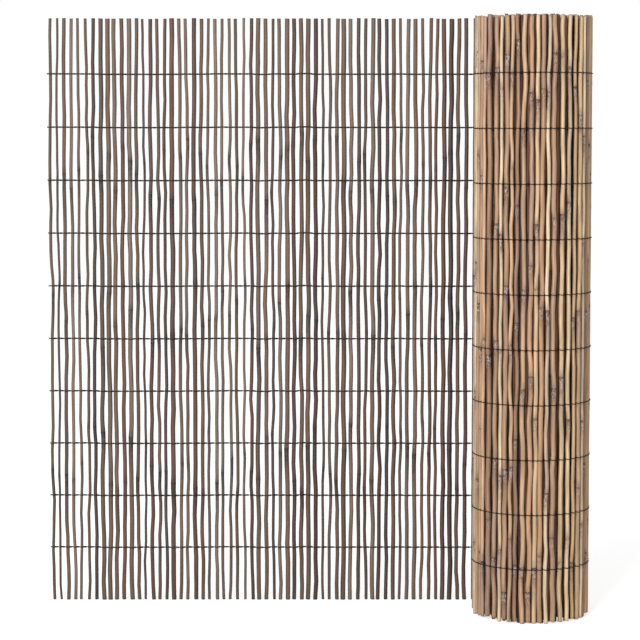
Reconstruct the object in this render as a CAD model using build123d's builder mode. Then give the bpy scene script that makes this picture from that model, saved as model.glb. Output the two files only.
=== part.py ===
"""Reed fence, part of it drawn off its roll: single canes tied in a flat mat by rows of wire.

The fence stands on its cane ends, with Z up. The roll turns about a vertical axis, and the flat
stretch leaves it at the back and runs towards -X. Plan angles start at the back of the roll (+Y)
and grow clockwise, seen from above, which is the way the mat winds into the roll.
The origin is on the floor, under the middle of the fence's overall width and depth.
"""

from build123d import *
import math
import os
import random

# Driving dimensions, mm
cane_length = 1000.0
cane_pitch = 12.2
thinnest_cane = 4.4
thickest_cane = 8.0
cane_taper = 0.14  # a cane's foot is this share thicker than its tip
tip_unevenness = 3.0  # the shortest cane falls this far short
cane_sides = 8
bends_in_cane = 3  # a cane turns slightly at this many of its knots
knot_scatter = 0.25  # how far a knot can lie from its even place, as a share of the spacing
slightest_bend = 0.4  # as a share of the most that the cane's free width allows
off_centre_share = 0.5  # of a cane's free width: taken by its line, the rest by its bends
cane_clearance = 0.5  # least room between two neighbouring canes

open_canes = 57
canes_beside_roll = 10  # the end of the flat stretch, nearly all of it behind the roll

row_count = 10
lowest_row = 91.2
highest_row_below_tip = 95.2
wire_diameter = 0.9
wire_tail = 3.2  # past the first cane
wire_seat = 0.05  # room between a strand and what it lies on
nip_room = 1.0  # between the turns where a strand slips into the roll, out of sight

roll_radius = 101.6  # to the outside of the outermost turn, where the flat stretch leaves it
core_radius = 19.0
turn_thickness = 6.7
turn_gap = 0.3
rolled_cane = 7.2
ridge_facets = 4  # on the outermost turn
inner_groove = 3.0  # depth between the plainer ridges of the turns below it
inside_facets = 24  # straight lengths in one turn's inside

# Worked out
turn_pitch = turn_thickness + turn_gap
back_of_mat = roll_radius  # the plane of the flat stretch's back, which the outer strands lie on
thickest_beside_roll = turn_thickness / (1 + cane_taper / 2)
flat_canes = open_canes + canes_beside_roll
full_turn = 2 * math.pi
row_pitch = (cane_length - highest_row_below_tip - lowest_row) / (row_count - 1)
wire_rows = [lowest_row + row_pitch * row for row in range(row_count)]


def outside_radius(angle):
    """Radius to the outside of the wound mat at a plan angle, which shrinks turn by turn."""
    return roll_radius - turn_pitch * angle / full_turn


def at_angle(radius, angle):
    """A plan point at this distance from the roll's axis."""
    return (radius * math.sin(angle), radius * math.cos(angle))


def place_ridges():
    """Plan angles of the wound canes, one pitch apart along the mat, down to the core."""
    angles = []
    angle = 0.5 * cane_pitch / roll_radius
    while outside_radius(angle) - turn_thickness > core_radius:
        angles.append(angle)
        angle += cane_pitch / outside_radius(angle)
    return angles


def thickness_at(diameter, z):
    """Thickness at a height of a cane with this diameter at half its length."""
    return diameter * (1 + cane_taper * (0.5 - z / cane_length))


def free_width(diameter):
    """How far a cane can stand off the middle of its own lane and stay clear of the next ones."""
    return (cane_pitch - cane_clearance - thickness_at(diameter, 0)) / 2


def place_canes():
    """Line and thickness of each flat cane, counted from the roll, as (x from its axis, diameter)."""
    scatter = random.Random(7)
    canes = []
    for place in range(flat_canes):
        diameter = scatter.triangular(thinnest_cane, thickest_cane)
        if place < canes_beside_roll:
            diameter = min(diameter, thickest_beside_roll)
        shift = scatter.uniform(-1, 1) * off_centre_share * free_width(diameter)
        canes.append((-(place + 0.5) * cane_pitch + shift, diameter))
    return canes


ridge_angles = place_ridges()
cane_places = place_canes()
thickest_placed = max(diameter for x, diameter in cane_places)


def front_of_mat(z):
    """Front of the thickest cane at a height, which carries the front strand there."""
    return back_of_mat - thickness_at(thickest_placed, z)


first_x, first_diameter = cane_places[-1]
free_end = first_x - first_diameter / 2 - wire_tail
lowest_strand = front_of_mat(wire_rows[0]) - wire_seat - wire_diameter - nip_room
wound_under = outside_radius(full_turn)
front_strand_end = math.sqrt(wound_under**2 - lowest_strand**2)
outer_strand_end = math.sqrt((wound_under + wire_seat + 2 * wire_diameter) ** 2 - lowest_strand**2)
right_side = outside_radius(full_turn / 4) + wire_seat + wire_diameter
front_side = outside_radius(full_turn / 2) + wire_seat + wire_diameter
axis_x = -(free_end + right_side) / 2
axis_y = -(back_of_mat + wire_seat + wire_diameter - front_side) / 2


def make_cane(place):
    """One cane: straight between its knots, a little bent at each, thinner towards the tip."""
    growth = random.Random(100 + place)
    x, diameter = cane_places[place]
    sideways = (1 - off_centre_share) * free_width(diameter)
    height = cane_length - growth.uniform(0, tip_unevenness)
    stretch = height / (bends_in_cane + 1)
    side = growth.choice((-1, 1))
    with BuildPart() as cane:
        for knot in range(bends_in_cane + 2):
            at_end = knot in (0, bends_in_cane + 1)
            z = (knot + (0 if at_end else growth.uniform(-1, 1) * knot_scatter)) * stretch
            bend = side * growth.uniform(slightest_bend, 1) * sideways
            side = -side
            thickness = thickness_at(diameter, z)
            centre = (axis_x + x + bend, axis_y + back_of_mat - thickness / 2, z)
            with BuildSketch(Plane(origin=centre)):
                RegularPolygon(
                    thickness / 2, cane_sides, major_radius=False, rotation=180 / cane_sides
                )
        loft(ruled=True)
    return cane.part


def ridge_outline(angle):
    """Plan points of one wound cane's outer half, as a ridge on the mat."""
    centre_x, centre_y = at_angle(outside_radius(angle) - rolled_cane / 2, angle)
    points = []
    for step in range(ridge_facets + 1):
        turn = angle - math.pi / 2 + math.pi * step / ridge_facets
        across, along = at_angle(rolled_cane / 2, turn)
        points.append((centre_x + across, centre_y + along))
    return points


def outside_outline():
    """The wound mat's outer side: round ridges on the outermost turn, plainer ones below it."""
    points = [at_angle(outside_radius(0) - rolled_cane / 2, 0)]
    last = len(ridge_angles) - 1
    for number, angle in enumerate(ridge_angles):
        if angle < full_turn:
            points += ridge_outline(angle)
        elif number < last:
            valley = (angle + ridge_angles[number + 1]) / 2
            points.append(at_angle(outside_radius(angle), angle))
            points.append(at_angle(outside_radius(valley) - inner_groove, valley))
    return points


def inside_outline():
    """The wound mat's inner side, whose flats lie clear of the turn below."""
    step = full_turn / inside_facets
    end = ridge_angles[-1]
    points = []
    angle = 0.0
    while angle < end:
        inside = outside_radius(angle) - turn_thickness
        points.append(at_angle(inside / math.cos(step / 2), angle))
        angle += step
    return points


def strand_outline():
    """The outer strand in plan: straight behind the flat canes, then over the outermost turn."""
    near, far = wire_seat, wire_seat + wire_diameter
    last_angle = full_turn - math.asin(outer_strand_end / outside_radius(full_turn))
    inner = [(free_end, back_of_mat + near), (cane_pitch / 2, back_of_mat + near)]
    outer = [(free_end, back_of_mat + far), (cane_pitch / 2, back_of_mat + far)]
    for angle in ridge_angles[1::2]:
        if angle < last_angle:
            corner = 1 / math.cos(cane_pitch / outside_radius(angle))
            inner.append(at_angle((outside_radius(angle) + near) * corner, angle))
            outer.append(at_angle((outside_radius(angle) + far) * corner, angle))
    return inner + outer[::-1]


def moved(points):
    """Plan points about the roll's axis, moved into the fence's frame."""
    return [(x + axis_x, y + axis_y) for x, y in points]


os.makedirs("parts", exist_ok=True)

# Open canes, from the free edge towards the roll
for number in range(1, open_canes + 1):
    open_cane = make_cane(flat_canes - number)
    open_cane.label = f"open_cane_{number:02d}"
    export_step(open_cane, f"parts/{open_cane.label}.step")

# Canes at the end of the flat stretch
tied_canes = [make_cane(place) for place in range(canes_beside_roll)]
with BuildPart() as beside_roll:
    add(tied_canes)
beside_roll.part.label = "canes_beside_roll"
export_step(beside_roll.part, "parts/canes_beside_roll.step")

# Wound length of the mat, all turns in one piece
with BuildPart() as rolled_length:
    with BuildSketch():
        with BuildLine():
            Polyline(*moved(outside_outline() + inside_outline()[::-1]), close=True)
        make_face()
    extrude(amount=cane_length)
rolled_length.part.label = "rolled_length"
export_step(rolled_length.part, "parts/rolled_length.step")

# Binding wires: a front and an outer strand in each row
with BuildPart() as binding_wires:
    for row_z in wire_rows:
        with BuildSketch(Plane.XY.offset(row_z - wire_diameter / 2)):
            with BuildLine():
                Polyline(*moved(strand_outline()), close=True)
            make_face()
            front_length = -front_strand_end - free_end
            with Locations(moved([(free_end, front_of_mat(row_z) - wire_seat)])):
                Rectangle(front_length, wire_diameter, align=(Align.MIN, Align.MAX))
        extrude(amount=wire_diameter)
binding_wires.part.label = "binding_wires"
export_step(binding_wires.part, "parts/binding_wires.step")
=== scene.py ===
# %% [markdown]
# # Reed fence, partly drawn off its roll
#
# A reed fence is a mat of single river canes, cut to one length and tied side by side by rows of thin
# wire. Here about eighty centimetres of it stand open and the rest is still wound up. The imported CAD
# model is loaded first and is never changed: it gives every piece its place and its size.

# %% Load the fixed frame
import math

import bmesh
import bpy
import numpy as np
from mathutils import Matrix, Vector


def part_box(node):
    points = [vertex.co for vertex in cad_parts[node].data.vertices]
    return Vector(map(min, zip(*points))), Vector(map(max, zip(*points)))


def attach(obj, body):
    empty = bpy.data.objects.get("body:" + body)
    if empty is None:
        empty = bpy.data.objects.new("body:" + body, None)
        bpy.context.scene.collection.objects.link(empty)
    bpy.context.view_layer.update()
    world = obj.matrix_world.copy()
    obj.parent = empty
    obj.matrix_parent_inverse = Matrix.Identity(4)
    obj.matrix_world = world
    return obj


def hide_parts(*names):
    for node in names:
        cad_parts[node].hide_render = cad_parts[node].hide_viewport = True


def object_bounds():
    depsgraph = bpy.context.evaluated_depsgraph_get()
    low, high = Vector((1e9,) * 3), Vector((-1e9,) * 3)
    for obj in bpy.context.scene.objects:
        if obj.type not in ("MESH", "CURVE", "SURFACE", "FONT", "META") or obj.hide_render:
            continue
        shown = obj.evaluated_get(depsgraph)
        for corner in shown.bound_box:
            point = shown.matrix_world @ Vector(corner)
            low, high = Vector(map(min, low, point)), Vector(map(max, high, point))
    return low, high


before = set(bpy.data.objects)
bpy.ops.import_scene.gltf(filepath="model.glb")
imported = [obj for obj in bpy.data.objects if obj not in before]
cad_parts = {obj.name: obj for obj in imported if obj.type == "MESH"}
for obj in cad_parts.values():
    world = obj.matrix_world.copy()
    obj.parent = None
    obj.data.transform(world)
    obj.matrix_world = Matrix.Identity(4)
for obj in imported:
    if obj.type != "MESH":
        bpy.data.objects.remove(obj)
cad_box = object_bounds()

mm = 0.001
full_turn = 2 * math.pi
print("CAD nodes:", len(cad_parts))
print("CAD box, mm:", [round(side / mm, 1) for side in cad_box[1] - cad_box[0]])

# %% [markdown]
# ## Camera
#
# The photograph fits a long lens at nearly four metres, a little below the canes' tips. Its upright
# lines are parallel, so the lens was shifted down. Most of that shift is taken by a slight tilt here,
# because every other view keeps the camera's shift and has to keep the fence in its frame.

# %% Camera
eye = (6.3 * mm, -3750 * mm, 830 * mm)
look_down = math.radians(4.147)
camera = bpy.data.objects.new("camera", bpy.data.cameras.new("camera"))
camera.data.lens = 126.65
camera.data.shift_y = -0.06
camera.data.clip_end = 100
camera.location = eye
camera.rotation_euler = (math.radians(90) - look_down, 0, 0)
bpy.context.scene.collection.objects.link(camera)
bpy.context.scene.camera = camera
bpy.context.scene.view_settings.view_transform = "Standard"
print("lens, mm:", round(camera.data.lens, 2))

# %% [markdown]
# ## A straight cane
#
# A river cane is a hollow tube with a solid knot every twenty or thirty centimetres. Each cane here
# starts as the same straight tube: a circle extruded ring by ring, its two ends filled, inset by the
# wall's thickness and pushed in, so that the bore shows where the cane was cut. One tube made by
# operators and then shaped ring by ring is quicker than a new one for each cane, and the rings crowd
# together at the knots, where the form changes most.

# %% Straight cane
bore_share = 0.45  # of the cane's radius
bore_push = 0.3  # marks the bore's bottom until the cane is shaped


def straight_cane(sides, rings):
    """An upright tube whose ring number k lies at height k, with its ends bored out."""
    shape = bmesh.new()
    bmesh.ops.create_circle(shape, cap_ends=False, segments=sides, radius=1)
    edges = shape.edges[:]
    for _ in range(rings - 1):
        grown = bmesh.ops.extrude_edge_only(shape, edges=edges)["geom"]
        added = {part for part in grown if isinstance(part, bmesh.types.BMVert)}
        bmesh.ops.translate(shape, verts=list(added), vec=(0, 0, 1))
        drawn = [part for part in grown if isinstance(part, bmesh.types.BMEdge)]
        edges = [edge for edge in drawn if added.issuperset(edge.verts)]
    for wall in shape.faces:
        wall.smooth = True
    ends = bmesh.ops.holes_fill(shape, edges=shape.edges[:], sides=sides)["faces"]
    rims = bmesh.ops.inset_individual(shape, faces=ends, thickness=1 - bore_share)["faces"]
    pushed = bmesh.ops.extrude_discrete_faces(shape, faces=ends)["faces"]
    for bottom in pushed:
        inward = bore_push if bottom.calc_center_median().z < 0.5 else -bore_push
        bmesh.ops.translate(shape, verts=bottom.verts[:], vec=(0, 0, inward))
    bmesh.ops.recalc_face_normals(shape, faces=shape.faces[:])
    for face in rims + pushed:
        face.smooth = False
        for edge in face.edges:
            edge.smooth = False
            for neighbour in edge.link_faces:
                if not neighbour.smooth:
                    neighbour.material_index = 1
    mesh = bpy.data.meshes.new(f"straight_cane_{sides}_{rings}")
    shape.to_mesh(mesh)
    shape.free()
    return mesh


print("bore, share of a cane's radius:", bore_share)

# %% [markdown]
# ## Knots and rings
#
# At a knot the cane swells a little, carries the sharp edge where a leaf's sheath sat, and has a fine
# groove just above it. The table says how far from the knot each ring lies and how much thicker the
# cane is there. Deeper in the roll only the swelling is left, and at its heart nothing of it shows.

# %% Rings along a cane
# Each ring is given as millimetres above the knot and swelling as a share of the radius
full_knot = (
    (-12, 0),
    (-6, 0.03),
    (-2.5, 0.06),
    (-0.8, 0.08),
    (0, 0.1),
    (0.8, 0.02),
    (1.8, 0.05),
    (6, 0.02),
    (12, 0),
)
plain_knot = ((-5, 0), (0, 0.1), (5, 0))
no_swelling = ((0, 0.0),)
knot_reach = 12 * mm
knot_scatter = 0.3  # how far a knot can lie from its even place, as a share of the spacing
wave_lengths, wave_reaches = (0.75, 1.3), (0.5, 1.2)  # ranges round what sways names
least_room = 0.05 * mm


def rings_along(height, knots, knot_form, between):
    """Heights of a cane's rings from its foot, and the swelling at each, as a share of its radius."""
    rings = [(0.0, 0.0), (height, 0.0)]
    for knot in knots:
        rings += [(knot + away * mm, swell) for away, swell in knot_form]
    stops = [0.0, *knots, height]
    for low, high in zip(stops, stops[1:]):
        low, high = low + knot_reach, high - knot_reach
        rings += [(low + (high - low) * (k + 0.5) / between, 0.0) for k in range(between)]
    return np.array(sorted(rings)).T


def place_knots(random, height, count):
    """Heights of a cane's knots, unevenly spaced."""
    spacing = height / count
    return [spacing * (k + 0.5 + random.uniform(-knot_scatter, knot_scatter)) for k in range(count)]


def wander(random, heights, sways):
    """Drift along a cane, the sum of slow waves. sways pairs each wave's length in mm with its reach."""
    drift = np.zeros(len(heights))
    for length, reach in sways:
        length = length * mm * random.uniform(*wave_lengths)
        reach = reach * mm * random.uniform(*wave_reaches)
        drift += reach * np.sin(heights / length * full_turn + random.uniform(0, full_turn))
    return drift


def kept_within(drift, room):
    """Drift eased off, so that it never takes a cane out of its own room."""
    room = np.maximum(room, least_room)
    return room * np.tanh(drift / room)


print("rings at a full knot:", len(full_knot), "and at a plain one:", len(plain_knot))

# %% [markdown]
# ## From rings to a cane
#
# A cane is described by its rings: height, middle and radius. The straight tube's points move to them,
# slightly oval, and the two end rings are cut on a slant. Six facts go along as attributes for the
# finish: how far a point lies below the knot above it, above the knot below it and from the cane's end,
# then the cane's own colour, and the tone and the wear of the stretch between two knots. An attribute
# follows a leaning cane, which a pattern in space does not.

# %% Shape canes
bore_depth = 6 * mm
facts = ("below_knot", "above_knot", "from_end", "cane_colour", "stretch_tone", "knot_wear")
no_knot = 400 * mm  # from here a knot leaves no mark
at_knot = 0.1 * mm  # a ring this close to a knot lies on it
oval_range = (0.01, 0.06)
bulge = 1.08  # room for a cane's oval section and its knots, in radii


def make_cane(random, heights, swells, x, y, radius, knots, slant, foot=0.0):
    """One cane's rings, ends and the facts for its finish, as a dictionary of arrays. slant is the
    steepest that its ends can be cut, and foot is how high it stands off the floor."""
    below = [min([knot - z for knot in knots if knot > z - at_knot], default=no_knot) for z in heights]
    above = [min([z - knot for knot in knots if knot < z + at_knot], default=no_knot) for z in heights]
    stretch = np.searchsorted(np.array(knots) + at_knot, heights)
    return {
        "z": heights + foot,
        "x": x,
        "y": y,
        "radius": radius * (1 + swells),
        "below_knot": np.maximum(below, 0) / mm,
        "above_knot": np.maximum(above, 0) / mm,
        "from_end": np.minimum(heights, heights[-1] - heights) / mm,
        "cane_colour": np.full(len(heights), random.uniform(0, 1)),
        "stretch_tone": random.uniform(0, 1, len(knots) + 1)[stretch],
        "knot_wear": random.uniform(0, 1, len(knots) + 1)[stretch],
        "oval": (random.uniform(*oval_range), random.uniform(0, full_turn)),
        "slants": [(random.uniform(0, slant), random.uniform(0, full_turn)) for _ in range(2)],
    }


def shaped(mesh, cane):
    """Places of a straight tube's points on one cane, and the ring each belongs to."""
    points = np.empty(len(mesh.vertices) * 3, np.float32)
    mesh.vertices.foreach_get("co", points)
    points = points.reshape(-1, 3).astype(float)
    ring = np.rint(points[:, 2]).astype(int)
    turn = np.arctan2(points[:, 1], points[:, 0])
    share = np.hypot(points[:, 0], points[:, 1])
    oval, oval_turn = cane["oval"]
    radius = cane["radius"][ring] * share * (1 + oval * np.cos(2 * turn + oval_turn))
    x = cane["x"][ring] + radius * np.cos(turn)
    y = cane["y"][ring] + radius * np.sin(turn)
    z = cane["z"][ring].copy()
    last = len(cane["z"]) - 1
    for end, inward, (slope, way) in zip((0, last), (1, -1), cane["slants"]):
        cut = ring == end
        z[cut] += inward * slope * (bulge * cane["radius"][end] + (radius * np.cos(turn - way))[cut])
        z[cut & (np.abs(points[:, 2] - ring) > bore_push / 2)] += inward * bore_depth
    return np.stack([x, y, z], 1), ring


def grown_piece(name, canes, sides, materials):
    """One object of these canes, each shaped from a straight tube with as many rings as it needs."""
    tubes = {}
    joined = bmesh.new()
    places, carried = [], {fact: [] for fact in facts}
    for cane in canes:
        rings = len(cane["z"])
        if rings not in tubes:
            tubes[rings] = straight_cane(sides, rings)
        joined.from_mesh(tubes[rings])
        points, ring = shaped(tubes[rings], cane)
        places.append(points)
        for fact in facts:
            carried[fact].append(cane[fact][ring])
    mesh = bpy.data.meshes.new(name)
    joined.to_mesh(mesh)
    joined.free()
    mesh.vertices.foreach_set("co", np.concatenate(places).astype(np.float32).ravel())
    for fact in facts:
        values = np.concatenate(carried[fact]).astype(np.float32)
        mesh.attributes.new(fact, "FLOAT", "POINT").data.foreach_set("value", values)
    for material in materials:
        mesh.materials.append(material)
    mesh.update()
    for tube in tubes.values():
        bpy.data.meshes.remove(tube)
    piece = bpy.data.objects.new(name, mesh)
    bpy.context.scene.collection.objects.link(piece)
    return piece


print("facts for the finish:", ", ".join(facts))

# %% [markdown]
# ## Colours and nodes
#
# Colours are written as sRGB hex values, as a paint chart gives them, and Blender wants them linear.
# One small helper adds a node with its settings and whatever feeds it, which keeps a material's recipe
# readable from top to bottom.

# %% Colour and node helpers
def linear(hex_colour):
    """Linear RGBA of an sRGB hex colour."""
    channels = [int(hex_colour[k : k + 2], 16) / 255 for k in (1, 3, 5)]
    return (*[c / 12.92 if c <= 0.04045 else ((c + 0.055) / 1.055) ** 2.4 for c in channels], 1.0)


def add_node(tree, kind, feeds=None, stops=None, **settings):
    """Adds a node. feeds maps an input's name or number to a value or to the output that drives it."""
    node = tree.nodes.new(kind)
    for setting, value in settings.items():
        setattr(node, setting, value)
    for name, value in (feeds or {}).items():
        if isinstance(value, bpy.types.NodeSocket):
            tree.links.new(value, node.inputs[name])
        else:
            node.inputs[name].default_value = value
    if stops:
        elements = node.color_ramp.elements
        while len(elements) < len(stops):
            elements.new(0.5)
        for element, (position, colour) in zip(elements, stops):
            element.position = position
            element.color = linear(colour) if isinstance(colour, str) else (colour, colour, colour, 1)
    return node


print("a middle grey, linear:", round(linear("#808080")[0], 3))

# %% [markdown]
# ## Dried cane
#
# River cane dries with a hard, faintly waxy skin that is neither glossy nor chalky. Long fibres run its
# whole length. Under each knot the leaf's sheath kept the skin pale and the weather then got in behind
# it, so there is a broken dark ring, a whitish band and a mottled stretch that fades out downwards. One
# recipe serves three finishes: straw and tan on the roll; a darker brown on the open stretch, which is
# painted shade, as those canes are the same cane lit less; and a darker tan still for the canes just
# inside the roll, which is painted shade for the roll's gaps. Real fibres are a tenth of a millimetre
# wide, too fine to show, so they are drawn about ten times as wide.

# %% Cane finish
range_inputs = ("Value", "From Min", "From Max", "To Min", "To Max")
streaks = ((1.5, 60), 3, 5.0)  # size, detail and shift of the long streaks
cut_stain = "#35271f"


def cane_finish(
    name, chart, blush, wash, dark_fleck, pale_fleck, pale_share, ring_depth, tone_range, dullness
):
    """Skin of a dried cane. chart is the run of colours that the canes are picked from, and blush tints
    some stretches between knots. wash and the flecks colour the weathered stretch under a knot, and
    ring_depth is how strongly the knot's own ring is stained. tone_range is how dark and how light a
    stretch can be, and dullness is the range of roughness."""
    material = bpy.data.materials.new(name)
    material.use_nodes = True
    tree = material.node_tree
    skin = tree.nodes["Principled BSDF"]
    where = add_node(tree, "ShaderNodeTexCoord").outputs["Object"]

    def grain(size, detail, shift, span, shares):
        # Noise of this size in millimetres, across and along the cane, whose span becomes these shares.
        # Each noise has a shift of its own, so that no two of them match.
        across, along = size
        scale = (1 / (across * mm), 1 / (across * mm), 1 / (along * mm))
        feeds = {"Vector": where, "Location": (shift,) * 3, "Scale": scale}
        placed = add_node(tree, "ShaderNodeMapping", feeds).outputs["Vector"]
        feeds = {"Vector": placed, "Scale": 1.0, "Detail": detail, "Roughness": 0.55}
        noise = add_node(tree, "ShaderNodeTexNoise", feeds).outputs["Fac"]
        feeds = dict(zip(range_inputs, (noise, *span, *shares)))
        return add_node(tree, "ShaderNodeMapRange", feeds).outputs["Result"]

    def gauge(fact, span, shares):
        # A share that follows one of the canes' facts, whose span becomes these shares
        value = add_node(tree, "ShaderNodeAttribute", attribute_name=fact).outputs["Fac"]
        feeds = dict(zip(range_inputs, (value, *span, *shares)))
        return add_node(tree, "ShaderNodeMapRange", feeds).outputs["Result"]

    def fading(stops, length):
        # A share that changes from stop to stop over this many millimetres below a knot
        reach = gauge("below_knot", (0, length), (0, 1))
        return add_node(tree, "ShaderNodeValToRGB", {"Fac": reach}, stops=stops).outputs["Color"]

    def layered(colour, paint, *covers):
        # Paint over a colour, which it covers by the product of these shares
        cover = covers[0]
        for share in covers[1:]:
            cover = add_node(tree, "ShaderNodeMath", {0: cover, 1: share}, operation="MULTIPLY").outputs[0]
        feeds = {0: cover, 6: colour, 7: linear(paint)}
        return add_node(tree, "ShaderNodeMix", feeds, data_type="RGBA").outputs[2]

    # The cane's own colour, a blush on some stretches, and three tones that darken or lighten it
    picked = add_node(tree, "ShaderNodeAttribute", attribute_name="cane_colour").outputs["Fac"]
    colour = add_node(tree, "ShaderNodeValToRGB", {"Fac": picked}, stops=chart).outputs["Color"]
    colour = layered(colour, blush, gauge("stretch_tone", (0.02, 0.3), (0.45, 0)))
    tones = (
        gauge("stretch_tone", (0, 1), tone_range),
        grain((9, 70), 2, 0.0, (0.3, 0.7), (0.84, 1.14)),
        grain(*streaks, (0.32, 0.68), (0.68, 1.2)),
    )
    for tone in tones:
        feeds = {0: colour, "Scale": tone}
        colour = add_node(tree, "ShaderNodeVectorMath", feeds, operation="SCALE").outputs["Vector"]

    # Under a knot, from its ring down: a wash over 75 mm, with dark flecks in the first 34 mm of it and
    # pale ones in the first 22 mm, all 2 to 4 mm large. Above the ring the wash fades out in 14 mm.
    worn = gauge("knot_wear", (0.0, 0.6), (0.2, 1.0))
    cloud = grain((4, 9), 3, 31.0, (0.36, 0.6), (0.4, 1))
    washed = fading(((0.0, 0.95), (0.2, 0.8), (0.5, 0.4), (1.0, 0.0)), 75)
    colour = layered(colour, wash, washed, worn, cloud)
    colour = layered(colour, wash, gauge("above_knot", (0, 14), (0.75, 0)), cloud)
    darkened = fading(((0.0, 1.0), (0.4, 0.7), (1.0, 0.0)), 34)
    dark_spots = grain((2.4, 4), 2, 11.0, (0.46, 0.56), (0, 0.95))
    colour = layered(colour, dark_fleck, darkened, worn, dark_spots)
    bleached = fading(((0.08, 0.0), (0.2, 1.0), (0.6, 0.7), (1.0, 0.0)), 22)
    pale_spots = grain((1.8, 3.5), 2, 23.0, (0.5, 0.62), (0, pale_share))
    colour = layered(colour, pale_fleck, bleached, worn, pale_spots)
    ring = gauge("below_knot", (0.5, 6.5), (1, 0))
    broken = grain((2.2, 5), 2, 47.0, (0.38, 0.6), (0.05, ring_depth))
    colour = layered(colour, dark_fleck, ring, broken)
    colour = layered(colour, cut_stain, gauge("from_end", (0.5, 4), (0.25, 0)))
    tree.links.new(colour, skin.inputs["Base Color"])
    tree.links.new(grain(*streaks, (0.3, 0.7), dullness), skin.inputs["Roughness"])
    fibres = grain((0.9, 25), 3, 17.0, (0, 1), (0, 1))
    bump = add_node(tree, "ShaderNodeBump", {"Strength": 0.35, "Distance": 0.25 * mm, "Height": fibres})
    tree.links.new(bump.outputs["Normal"], skin.inputs["Normal"])
    return material


straw_chart = (
    (0.0, "#ead2b0"),
    (0.14, "#e3c69e"),
    (0.3, "#dcbd94"),
    (0.44, "#d3b084"),
    (0.56, "#d8b090"),
    (0.68, "#c79c78"),
    (0.8, "#c4a080"),
    (0.92, "#ae886a"),
    (1.0, "#8f6c54"),
)
# The open stretch's darker brown paints shade: its canes are the same cane as the roll's, lit less.
open_shade_chart = (
    (0.0, "#816d60"),
    (0.18, "#746153"),
    (0.36, "#6c5646"),
    (0.5, "#665441"),
    (0.64, "#6c4e40"),
    (0.82, "#57433a"),
    (1.0, "#473832"),
)
# The canes just inside the roll are painted darker, which paints the shade that the roll's gaps hold.
shaded_chart = ((0.0, "#a5744e"), (0.5, "#704729"), (1.0, "#3a2211"))
straw_reed = cane_finish(
    "dried_reed_straw",
    straw_chart,
    blush="#b3978a",
    wash="#84665c",
    dark_fleck="#402c26",
    pale_fleck="#dccfc9",
    pale_share=0.85,
    ring_depth=0.75,
    tone_range=(0.9, 1.06),
    dullness=(0.36, 0.56),
)
open_shade_reed = cane_finish(
    "dried_reed_open_shade",
    open_shade_chart,
    blush="#5a4642",
    wash="#2c2321",
    dark_fleck="#201917",
    pale_fleck="#6a5e58",
    pale_share=0.2,
    ring_depth=0.5,
    tone_range=(0.88, 1.08),
    dullness=(0.46, 0.66),
)
shaded_reed = cane_finish(
    "dried_reed_inside_roll_shade",
    shaded_chart,
    blush="#5b4236",
    wash="#3a2820",
    dark_fleck="#241711",
    pale_fleck="#8a7466",
    pale_share=0.4,
    ring_depth=0.5,
    tone_range=(0.8, 1.1),
    dullness=(0.46, 0.66),
)
print("materials:", [material.name for material in bpy.data.materials])

# %% [markdown]
# ## Cut end
#
# Where a cane is cut, its wall shows as a pale, dry ring of open pores round the dark bore. The pores
# are a fifth of a millimetre wide and are drawn three times as coarse, so that the ring isn't flat.

# %% Cut-end finish
cut_end = bpy.data.materials.new("sawn_reed_end")
cut_end.use_nodes = True
cut_tree = cut_end.node_tree
cut_place = add_node(cut_tree, "ShaderNodeTexCoord").outputs["Object"]
pore_size = 0.6 * mm
pore_feeds = {"Vector": cut_place, "Scale": 1 / pore_size, "Detail": 2}
pores = add_node(cut_tree, "ShaderNodeTexNoise", pore_feeds).outputs["Fac"]
cut_chart = ((0.35, "#a07d58"), (0.5, "#d2b189"), (0.7, "#ead2ab"))
cut_colour = add_node(cut_tree, "ShaderNodeValToRGB", {"Fac": pores}, stops=cut_chart).outputs["Color"]
cut_skin = cut_tree.nodes["Principled BSDF"]
cut_skin.inputs["Roughness"].default_value = 0.85
cut_tree.links.new(cut_colour, cut_skin.inputs["Base Color"])
cut_bump = add_node(cut_tree, "ShaderNodeBump", {"Strength": 0.5, "Distance": 0.2 * mm, "Height": pores})
cut_tree.links.new(cut_bump.outputs["Normal"], cut_skin.inputs["Normal"])
print("nodes of the cut end:", len(cut_tree.nodes))

# %% [markdown]
# ## Open canes
#
# Every open cane is a part of its own in the CAD model, straight between three knots. The finished cane
# follows that line, takes that thickness with a little more spread, swells at those knots and sways
# gently between them. It stays inside its own lane between two neighbours, so that no two canes cut
# into each other. All backs lie close to one plane, as on a mat that was tied on a table.

# %% Lanes of the mat
cane_pitch = 12.2 * mm
roll_radius = 101.6 * mm
turn_pitch = 7 * mm
open_canes = 57
canes_beside_roll = 10
mat_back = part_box("open_cane_01")[1].y
# The mat winds inwards by a quarter of the turns' pitch from the back to the roll's right side
axis_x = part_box("rolled_length")[1].x - (roll_radius - turn_pitch / 4)
axis_y = mat_back - roll_radius
print("roll axis, mm:", round(axis_x / mm, 2), round(axis_y / mm, 2))


def lane_middle(place):
    """x of a lane's middle, counted from the roll."""
    return axis_x - (place + 0.5) * cane_pitch


def packed_rings(points):
    """Heights, middles and thicknesses of a plain cane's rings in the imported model."""
    levels = points[:, 2].round(5)
    heights = np.unique(levels)
    rings = [points[levels == z] for z in heights]
    middles = [(ring[:, 0].min() + ring[:, 0].max()) / 2 for ring in rings]
    thicknesses = [np.ptp(ring[:, 1]) for ring in rings]
    return heights, np.array(middles), np.array(thicknesses)


def node_points(node):
    """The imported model's points of a node."""
    points = np.empty(len(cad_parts[node].data.vertices) * 3, np.float32)
    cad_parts[node].data.vertices.foreach_get("co", points)
    return points.reshape(-1, 3).astype(float)


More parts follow.
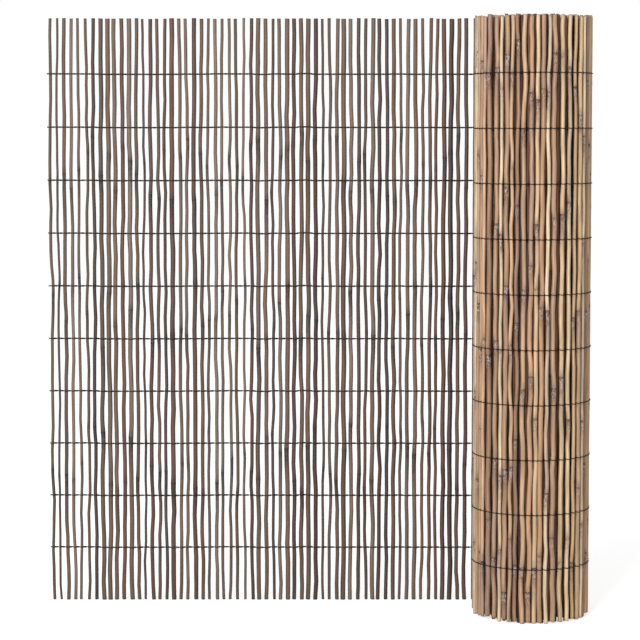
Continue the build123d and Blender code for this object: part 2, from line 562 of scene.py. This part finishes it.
# %% Grow the open canes
close_sides, second_sides, inner_sides = 12, 8, 6  # round a cane, fewer where less of it shows
open_sways = ((62, 0.3), (95, 0.55), (170, 0.85), (330, 0.6))
usual_thickness = 6.2 * mm
drawn_thicker = 1.05  # the rings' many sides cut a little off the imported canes' eight
thickness_spread = 1.3  # on how far a packed cane's thickness lies from the usual
thickness_waves = ((150, 30), (60, 15))  # their reach is in thousandths of the radius
back_waves = ((210, 0.25),)
back_room = 0.3 * mm
tip_reach, tip_calm = 220 * mm, 0.35  # towards the tip a cane sways less, down to this share
knot_room = 1.1  # what a cane with its knots takes of its lane to each side, in radii
leaning = {7: 8 * mm}  # this cane keeps to the roll's side of its lane, so that a gap stays open


def flat_cane(place, points):
    """A finished cane in its lane of the flat stretch."""
    random = np.random.default_rng(1000 + place)
    packed_z, packed_x, packed_thickness = packed_rings(points)
    height = (packed_z[-1] + cad_box[1].z) / 2
    knots = list(packed_z[1:-1])
    heights, swells = rings_along(height, knots, full_knot, between=7)
    thickness = packed_thickness.mean()
    thickness = usual_thickness * drawn_thicker + (thickness - usual_thickness) * thickness_spread
    radius = thickness / 2 * (1 + wander(random, heights, thickness_waves))
    drift = np.interp(heights, packed_z, packed_x) - lane_middle(place)
    calm = np.interp(height - heights, (0, tip_reach), (tip_calm, 1))
    drift += wander(random, heights, open_sways) * calm + leaning.get(place, 0)
    drift = kept_within(drift, cane_pitch / 2 - knot_room * radius)
    y = mat_back - radius - back_room - np.abs(wander(random, heights, back_waves))
    return make_cane(random, heights, swells, lane_middle(place) + drift, y, radius, knots, slant=0.08)


# The open canes take the darker brown finish, whose colour is painted shade.
flat_canes = {}
for number in range(1, open_canes + 1):
    node = f"open_cane_{number:02d}"
    place = open_canes + canes_beside_roll - number
    flat_canes[place] = flat_cane(place, node_points(node))
    reed = grown_piece(f"reed_{number:02d}", [flat_canes[place]], close_sides, (open_shade_reed, cut_end))
    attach(reed, "root")
    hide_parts(node)

# %% Canes beside the roll
beside_points = node_points("canes_beside_roll")
lanes = np.floor((axis_x - beside_points[:, 0]) / cane_pitch).astype(int)
for place in range(canes_beside_roll):
    flat_canes[place] = flat_cane(place, beside_points[lanes == place])
beside_roll = [flat_canes[place] for place in range(canes_beside_roll)]
beside = grown_piece("reeds_beside_roll", beside_roll, close_sides, (open_shade_reed, cut_end))
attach(beside, "root")
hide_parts("canes_beside_roll")
print("canes beside the roll:", len(beside_roll))

# %% [markdown]
# ## The roll
#
# The rest of the mat winds into the roll, one turn seven millimetres inside the last. The outermost
# turn shows everywhere, so its canes are as detailed as the open ones and unevenly spaced. The second
# turn only shows through its gaps, and its canes lie behind those gaps, as they settle in a real roll.
# Further in only the cut ends are seen, from above, and a few dozen faces are enough for each.

# %% Spiral of the roll
core_radius = 19 * mm
turn_thickness = 6.7 * mm
cane_length = 1000 * mm
tip_unevenness = 3.5  # mm that the shortest cane falls short
highest_foot = 6 * mm  # few canes come near it, since most slid down to the floor
wound_taper = 0.1
most_lean = 3  # mm between a cane's foot and its tip, to either side
depth_waves = ((260, 0.2),)


def outside_radius(angle):
    """Radius to the outside of the wound mat at a plan angle from the roll's back, seen from above."""
    return roll_radius - turn_pitch * angle / full_turn


def wound_cane(random, angle, diameter, room, knot_count, knot_form, between, sways, inset=0.0):
    """A finished cane of the roll at a plan angle, with room to each side for its drift."""
    foot = random.uniform(0, 1) ** 3 * highest_foot
    height = cane_length - random.uniform(0, tip_unevenness) * mm - foot
    knots = place_knots(random, height, knot_count)
    heights, swells = rings_along(height, knots, knot_form, between)
    radius = diameter / 2 * (1 + wound_taper * (0.5 - heights / height))
    lean = random.uniform(-most_lean, most_lean) * mm * (heights / height - 0.5)
    drift = kept_within(wander(random, heights, sways) + lean, room)
    sunk = inset + bulge * radius.max() + np.abs(wander(random, heights, depth_waves))
    out = outside_radius(angle) - sunk
    x = axis_x + out * math.sin(angle) + drift * math.cos(angle)
    y = axis_y + out * math.cos(angle) - drift * math.sin(angle)
    return make_cane(random, heights, swells, x, y, radius, knots, slant=0.55, foot=foot)


print("turns down to the core:", round((roll_radius - turn_thickness - core_radius) / turn_pitch, 1))

# %% Outermost turn
roll_random = np.random.default_rng(41)
outer_count = 51
least_gap = 0.4 * mm
stray = 0.4 * mm  # a cane can drift this far past the middle of a gap
middle_depth = 7.5 * mm  # of the canes' middles below the roll's outside, on average over the turn
thicknesses = (4.8, 7.0, 8.8)  # mm, the least, the usual and the most
gap_shape = 1.6  # many narrow gaps and a few wide ones
outer_diameters = roll_random.triangular(*thicknesses, outer_count) * mm
outer_gaps = roll_random.gamma(gap_shape, 1.0, outer_count)
spare = full_turn * (roll_radius - middle_depth) - outer_diameters.sum() - least_gap * outer_count
outer_gaps = least_gap + outer_gaps / outer_gaps.sum() * spare
outer_steps = outer_diameters + outer_gaps
outer_angles = (np.cumsum(outer_steps) - outer_steps / 2) / outer_steps.sum() * full_turn
roll_sways = ((70, 0.55), (110, 0.9), (190, 1.1), (360, 0.8))
outer_turn = []
for angle, diameter, gap in zip(outer_angles, outer_diameters, outer_gaps):
    knot_count = roll_random.integers(3, 6)
    form = dict(knot_count=knot_count, knot_form=full_knot, between=8, sways=roll_sways)
    outer_turn.append(wound_cane(roll_random, angle, diameter, room=gap / 2 + stray, **form))


def deal_colours(canes, seed):
    """Deals a chart's colours out like cards: each shade comes once. The seeds were searched for among
    thousands, so that the roll's left, middle and right are about as light as in the photograph. The
    darker canes so fall to the left, which the lamp lights most, and paint some shade there."""
    colours = np.random.default_rng(seed).permutation(np.linspace(0, 1, len(canes)))
    for cane, colour in zip(canes, colours):
        cane["cane_colour"][:] = colour


deal_colours(outer_turn, 3868)
outer_reeds = grown_piece("reeds_outer_turn", outer_turn, close_sides, (straw_reed, cut_end))
print("outermost turn:", outer_count, "canes, widest gap, mm:", round(outer_gaps.max() / mm, 1))

# %% Second turn
second_angles = (outer_angles[:-1] + outer_angles[1:]) / 2 + full_turn
second_form = dict(
    room=1.2 * mm, knot_count=4, knot_form=plain_knot, between=4, inset=0.4 * mm, sways=roll_sways
)
second_turn = []
for angle in second_angles:
    diameter = roll_random.uniform(5.4, 7.0) * mm
    second_turn.append(wound_cane(roll_random, angle, diameter, **second_form))
# The second turn takes the darker finish, whose colour is painted shade in the roll's gaps.
deal_colours(second_turn, 4198)
second_reeds = grown_piece("reeds_second_turn", second_turn, second_sides, (shaded_reed, cut_end))
print("second turn:", len(second_turn), "canes")

# %% Inner turns
inner_form = dict(
    room=0.5 * mm, knot_count=1, knot_form=no_swelling, between=1, inset=0.05 * mm, sways=((300, 0.5),)
)
inner_turns = []
angle = second_angles[-1] + cane_pitch / roll_radius
while outside_radius(angle) - turn_thickness > core_radius:
    diameter = roll_random.uniform(5.8, 6.9) * mm
    inner_turns.append(wound_cane(roll_random, angle, diameter, **inner_form))
    angle += cane_pitch * roll_random.uniform(0.9, 1.1) / outside_radius(angle)
inner_reeds = grown_piece("reeds_inner_turns", inner_turns, inner_sides, (straw_reed, cut_end))
for piece in (outer_reeds, second_reeds, inner_reeds):
    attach(piece, "root")
    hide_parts("rolled_length")
    print(piece.name, "faces:", len(piece.data.polygons))

# %% [markdown]
# ## Binding wire
#
# Two strands of soft wire run along each row, one in front of a cane and one behind it, and cross in
# every gap, so that each cane sits in its own eye. It is annealed steel, whose dark brown scale hardly
# shines. The strands are curves through a few points per cane, taken from where that cane really is at
# that height, and are then made meshes. Every few canes the rows step up or down by half a millimetre
# or so, all of them together, because the loom's ties slip a little along a few canes at a time.

# %% Binding wire finish
wire_finish = bpy.data.materials.new("annealed_steel_wire")
wire_finish.use_nodes = True
wire_tree = wire_finish.node_tree
wire_place = add_node(wire_tree, "ShaderNodeTexCoord").outputs["Object"]
spot_size = 5 * mm  # of the patches of scale
spot_feeds = {"Vector": wire_place, "Scale": 1 / spot_size, "Detail": 3}
spots = add_node(wire_tree, "ShaderNodeTexNoise", spot_feeds).outputs["Fac"]
wire_chart = ((0.35, "#140803"), (0.55, "#200e05"), (0.75, "#34190b"))
wire_colour = add_node(wire_tree, "ShaderNodeValToRGB", {"Fac": spots}, stops=wire_chart).outputs["Color"]
wire_skin = wire_tree.nodes["Principled BSDF"]
wire_tree.links.new(wire_colour, wire_skin.inputs["Base Color"])
wire_skin.inputs["Specular IOR Level"].default_value = 0.3
dull_feeds = dict(zip(range_inputs, (spots, 0.3, 0.7, 0.6, 0.8)))
wire_rough = add_node(wire_tree, "ShaderNodeMapRange", dull_feeds).outputs["Result"]
wire_tree.links.new(wire_rough, wire_skin.inputs["Roughness"])
print("nodes of the wire:", len(wire_tree.nodes))

# %% Ties along a row
wire_radius = 0.78 * mm  # of a strand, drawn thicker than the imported 0.9 mm wire so that it shows
# Half the height between two strands where they cross, in their radii
flat_lift, wound_lift = 1.1, 2.0
corner_along, corner_out = 0.72, 0.7  # a strand's corners on a cane, as shares of its reach
corner_lift = 0.3  # what it climbs from the middle of a cane to a corner, in its radii
tail_sway, tail_twist = 0.3 * mm, 0.6  # of the two ends past the first cane
edge_room = 1.05 * wire_radius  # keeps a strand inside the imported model's box
row_count = 10
lowest_row = 91.2 * mm
row_pitch = 90.4 * mm
last_tied_angle = full_turn - 0.33  # past it the turn is hidden between the roll and the flat stretch
# In every row the two or three ties near this place sit higher
high_tie_x, high_tie_reach, high_tie_lift = -21 * mm, 14 * mm, 1.3 * mm


def tie_at(cane, z, along, out):
    """Where a strand rounds this cane at this height: middle, radius, and the row's directions."""
    middle = np.array([np.interp(z, cane["z"], cane["x"]), np.interp(z, cane["z"], cane["y"])])
    radius = np.interp(z, cane["z"], cane["radius"])
    return middle, radius, np.array(along), np.array(out)


def ties_of_row(z):
    """All ties of a row, from the free edge along the flat stretch and over the outermost turn."""
    ties = [tie_at(flat_canes[place], z, (1, 0), (0, 1)) for place in sorted(flat_canes, reverse=True)]
    for angle, cane in zip(outer_angles, outer_turn):
        if angle < last_tied_angle:
            across, depth = math.sin(angle), math.cos(angle)
            ties.append(tie_at(cane, z, (depth, -across), (across, depth)))
    return ties


def strand_points(ties, z, side, wobble):
    """Points of one strand, which starts on this side of the first cane and changes sides in each gap."""
    first_edge = ties[0][0][0] - ties[0][1]
    free_end = cad_box[0].x + wire_radius
    middle_y = ties[0][0][1]
    tail_z = z + wobble[0]
    halfway = (free_end + first_edge) / 2
    points = [
        (free_end, middle_y + side * tail_sway, tail_z + side * wire_radius),
        (halfway, middle_y - side * tail_sway, tail_z - side * tail_twist * wire_radius),
    ]
    for number, (middle, radius, along, out) in enumerate(ties):
        reach = radius + wire_radius
        level = z + wobble[number]
        before = middle + reach * (-corner_along * along + corner_out * side * out)
        over = middle + reach * side * out
        after = middle + reach * (corner_along * along + corner_out * side * out)
        tilt = corner_lift * side * wire_radius
        points += [(*before, level - tilt), (*over, level), (*after, level + tilt)]
        if number + 1 < len(ties):
            following, next_radius, next_along, _ = ties[number + 1]
            crossing = (middle + radius * along + following - next_radius * next_along) / 2
            middle_level = (level + z + wobble[number + 1]) / 2
            lift = flat_lift if number < len(flat_canes) else wound_lift
            points.append((*crossing, middle_level + lift * side * wire_radius))
        side = -side
    lowest = [cad_box[0].x, cad_box[0].y + edge_room, 0]
    highest = [cad_box[1].x - edge_room, cad_box[1].y - edge_room, cad_box[1].z]
    return np.clip(np.array(points), lowest, highest)


print("ties in a row:", len(ties_of_row(lowest_row)))

# %% Twine the wires
strands = bpy.data.curves.new("strands", "CURVE")
strands.dimensions = "3D"
strands.bevel_depth = wire_radius
strands.bevel_resolution = 1
strands.use_fill_caps = True
wire_random = np.random.default_rng(5)
tie_count = len(ties_of_row(lowest_row))
slip_chance = 0.22  # that the rows step up or down at a cane
most_slip, most_wobble = 0.8, 0.15  # mm, of all rows together and of a single tie
slip_group = np.cumsum(wire_random.random(tie_count) < slip_chance)
slips = wire_random.uniform(-most_slip, most_slip, tie_count)[slip_group] * mm
for row in range(row_count):
    row_z = lowest_row + row_pitch * row
    ties = ties_of_row(row_z)
    tied_x = np.array([tie[0][0] for tie in ties])
    wobble = slips + wire_random.uniform(-most_wobble, most_wobble, tie_count) * mm
    is_flat = np.arange(tie_count) < len(flat_canes)
    wobble += high_tie_lift * np.exp(-(((tied_x - high_tie_x) / high_tie_reach) ** 4)) * is_flat
    for side in (-1, 1):
        points = strand_points(ties, row_z, side, wobble)
        spline = strands.splines.new("POLY")
        spline.points.add(len(points) - 1)
        weighted = np.array([(*point, 1.0) for point in points], np.float32)
        spline.points.foreach_set("co", weighted.ravel())
strand_object = bpy.data.objects.new("strands", strands)
bpy.context.scene.collection.objects.link(strand_object)
bpy.context.view_layer.update()
solid_strands = strand_object.evaluated_get(bpy.context.evaluated_depsgraph_get())
wires = bpy.data.objects.new("twined_wires", bpy.data.meshes.new_from_object(solid_strands))
bpy.data.objects.remove(strand_object)
bpy.context.scene.collection.objects.link(wires)
wires.data.materials.clear()
wires.data.materials.append(wire_finish)
for face in wires.data.polygons:
    face.use_smooth = True
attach(wires, "root")
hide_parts("binding_wires")
print("wire faces:", len(wires.data.polygons))

# %% [markdown]
# ## Floor, background and light
#
# The fence stands in a white studio. The floor is a plain white one that catches a soft shadow, and it
# glows for camera rays alone, so that it meets the white background without a line. The
# background is white where the camera or a reflection sees it, and gives the fence a softer, dimmer
# light all round. One large lamp from the left front models the canes.

# %% Floor
floor_reach = 20  # metres to each side
floor_drop = 0.2 * mm  # keeps the canes' feet out of the floor
floor_shape = bmesh.new()
bmesh.ops.create_grid(floor_shape, x_segments=1, y_segments=1, size=floor_reach)
bmesh.ops.translate(floor_shape, verts=floor_shape.verts[:], vec=(0, 0, -floor_drop))
floor_mesh = bpy.data.meshes.new("floor")
floor_shape.to_mesh(floor_mesh)
floor_shape.free()
floor = bpy.data.objects.new("floor", floor_mesh)
bpy.context.scene.collection.objects.link(floor)
floor_finish = bpy.data.materials.new("white_studio_floor")
floor_finish.use_nodes = True
floor_tree = floor_finish.node_tree
floor_skin = floor_tree.nodes["Principled BSDF"]
floor_skin.inputs["Base Color"].default_value = linear("#f2f2f2")
floor_skin.inputs["Roughness"].default_value = 0.9
floor_skin.inputs["Specular IOR Level"].default_value = 0.1
floor_glow = 0.64
floor_rays = add_node(floor_tree, "ShaderNodeLightPath").outputs
glow_feeds = {0: floor_rays["Is Camera Ray"], 1: floor_glow}
glow = add_node(floor_tree, "ShaderNodeMath", glow_feeds, operation="MULTIPLY").outputs[0]
floor_tree.links.new(glow, floor_skin.inputs["Emission Strength"])
floor_skin.inputs["Emission Color"].default_value = (1, 1, 1, 1)
floor_mesh.materials.append(floor_finish)
print("floor, metres to each side:", floor_reach)

# %% Background
ambient = 0.4  # strength of the light all round, against 1 where the background is seen
world = bpy.data.worlds.new("studio")
world.use_nodes = True
bpy.context.scene.world = world
sky_tree = world.node_tree
rays = add_node(sky_tree, "ShaderNodeLightPath").outputs
seen = rays["Is Camera Ray"]
for ray in ("Is Glossy Ray", "Is Transmission Ray"):
    seen = add_node(sky_tree, "ShaderNodeMath", {0: seen, 1: rays[ray]}, operation="MAXIMUM").outputs[0]
sky_feeds = {"Value": seen, "To Min": ambient, "To Max": 1.0}
strength = add_node(sky_tree, "ShaderNodeMapRange", sky_feeds).outputs["Result"]
sky = sky_tree.nodes["Background"]
sky.inputs["Color"].default_value = (1, 1, 1, 1)
sky_tree.links.new(strength, sky.inputs["Strength"])
print("light all round, as a share of the white that is seen:", ambient)

# %% Lamp
lamp_place, lamp_target = np.array([-1.25, -3.8, 2.0]), np.array([0.2, 0.0, 0.5])
lamp = bpy.data.objects.new("left_front_lamp", bpy.data.lights.new("left_front_lamp", "AREA"))
lamp.data.shape = "SQUARE"
lamp.data.size = 1.2
lamp.data.energy = 116
lamp.location = lamp_place
aim = lamp_target - lamp_place
distance = float(np.linalg.norm(aim))
lamp.rotation_euler = (math.acos(-aim[2] / distance), 0, math.atan2(-aim[0], aim[1]))
bpy.context.scene.collection.objects.link(lamp)
print("lamp distance, m:", round(distance, 2))

# %% Bring the scene up to date
bpy.context.view_layer.update()
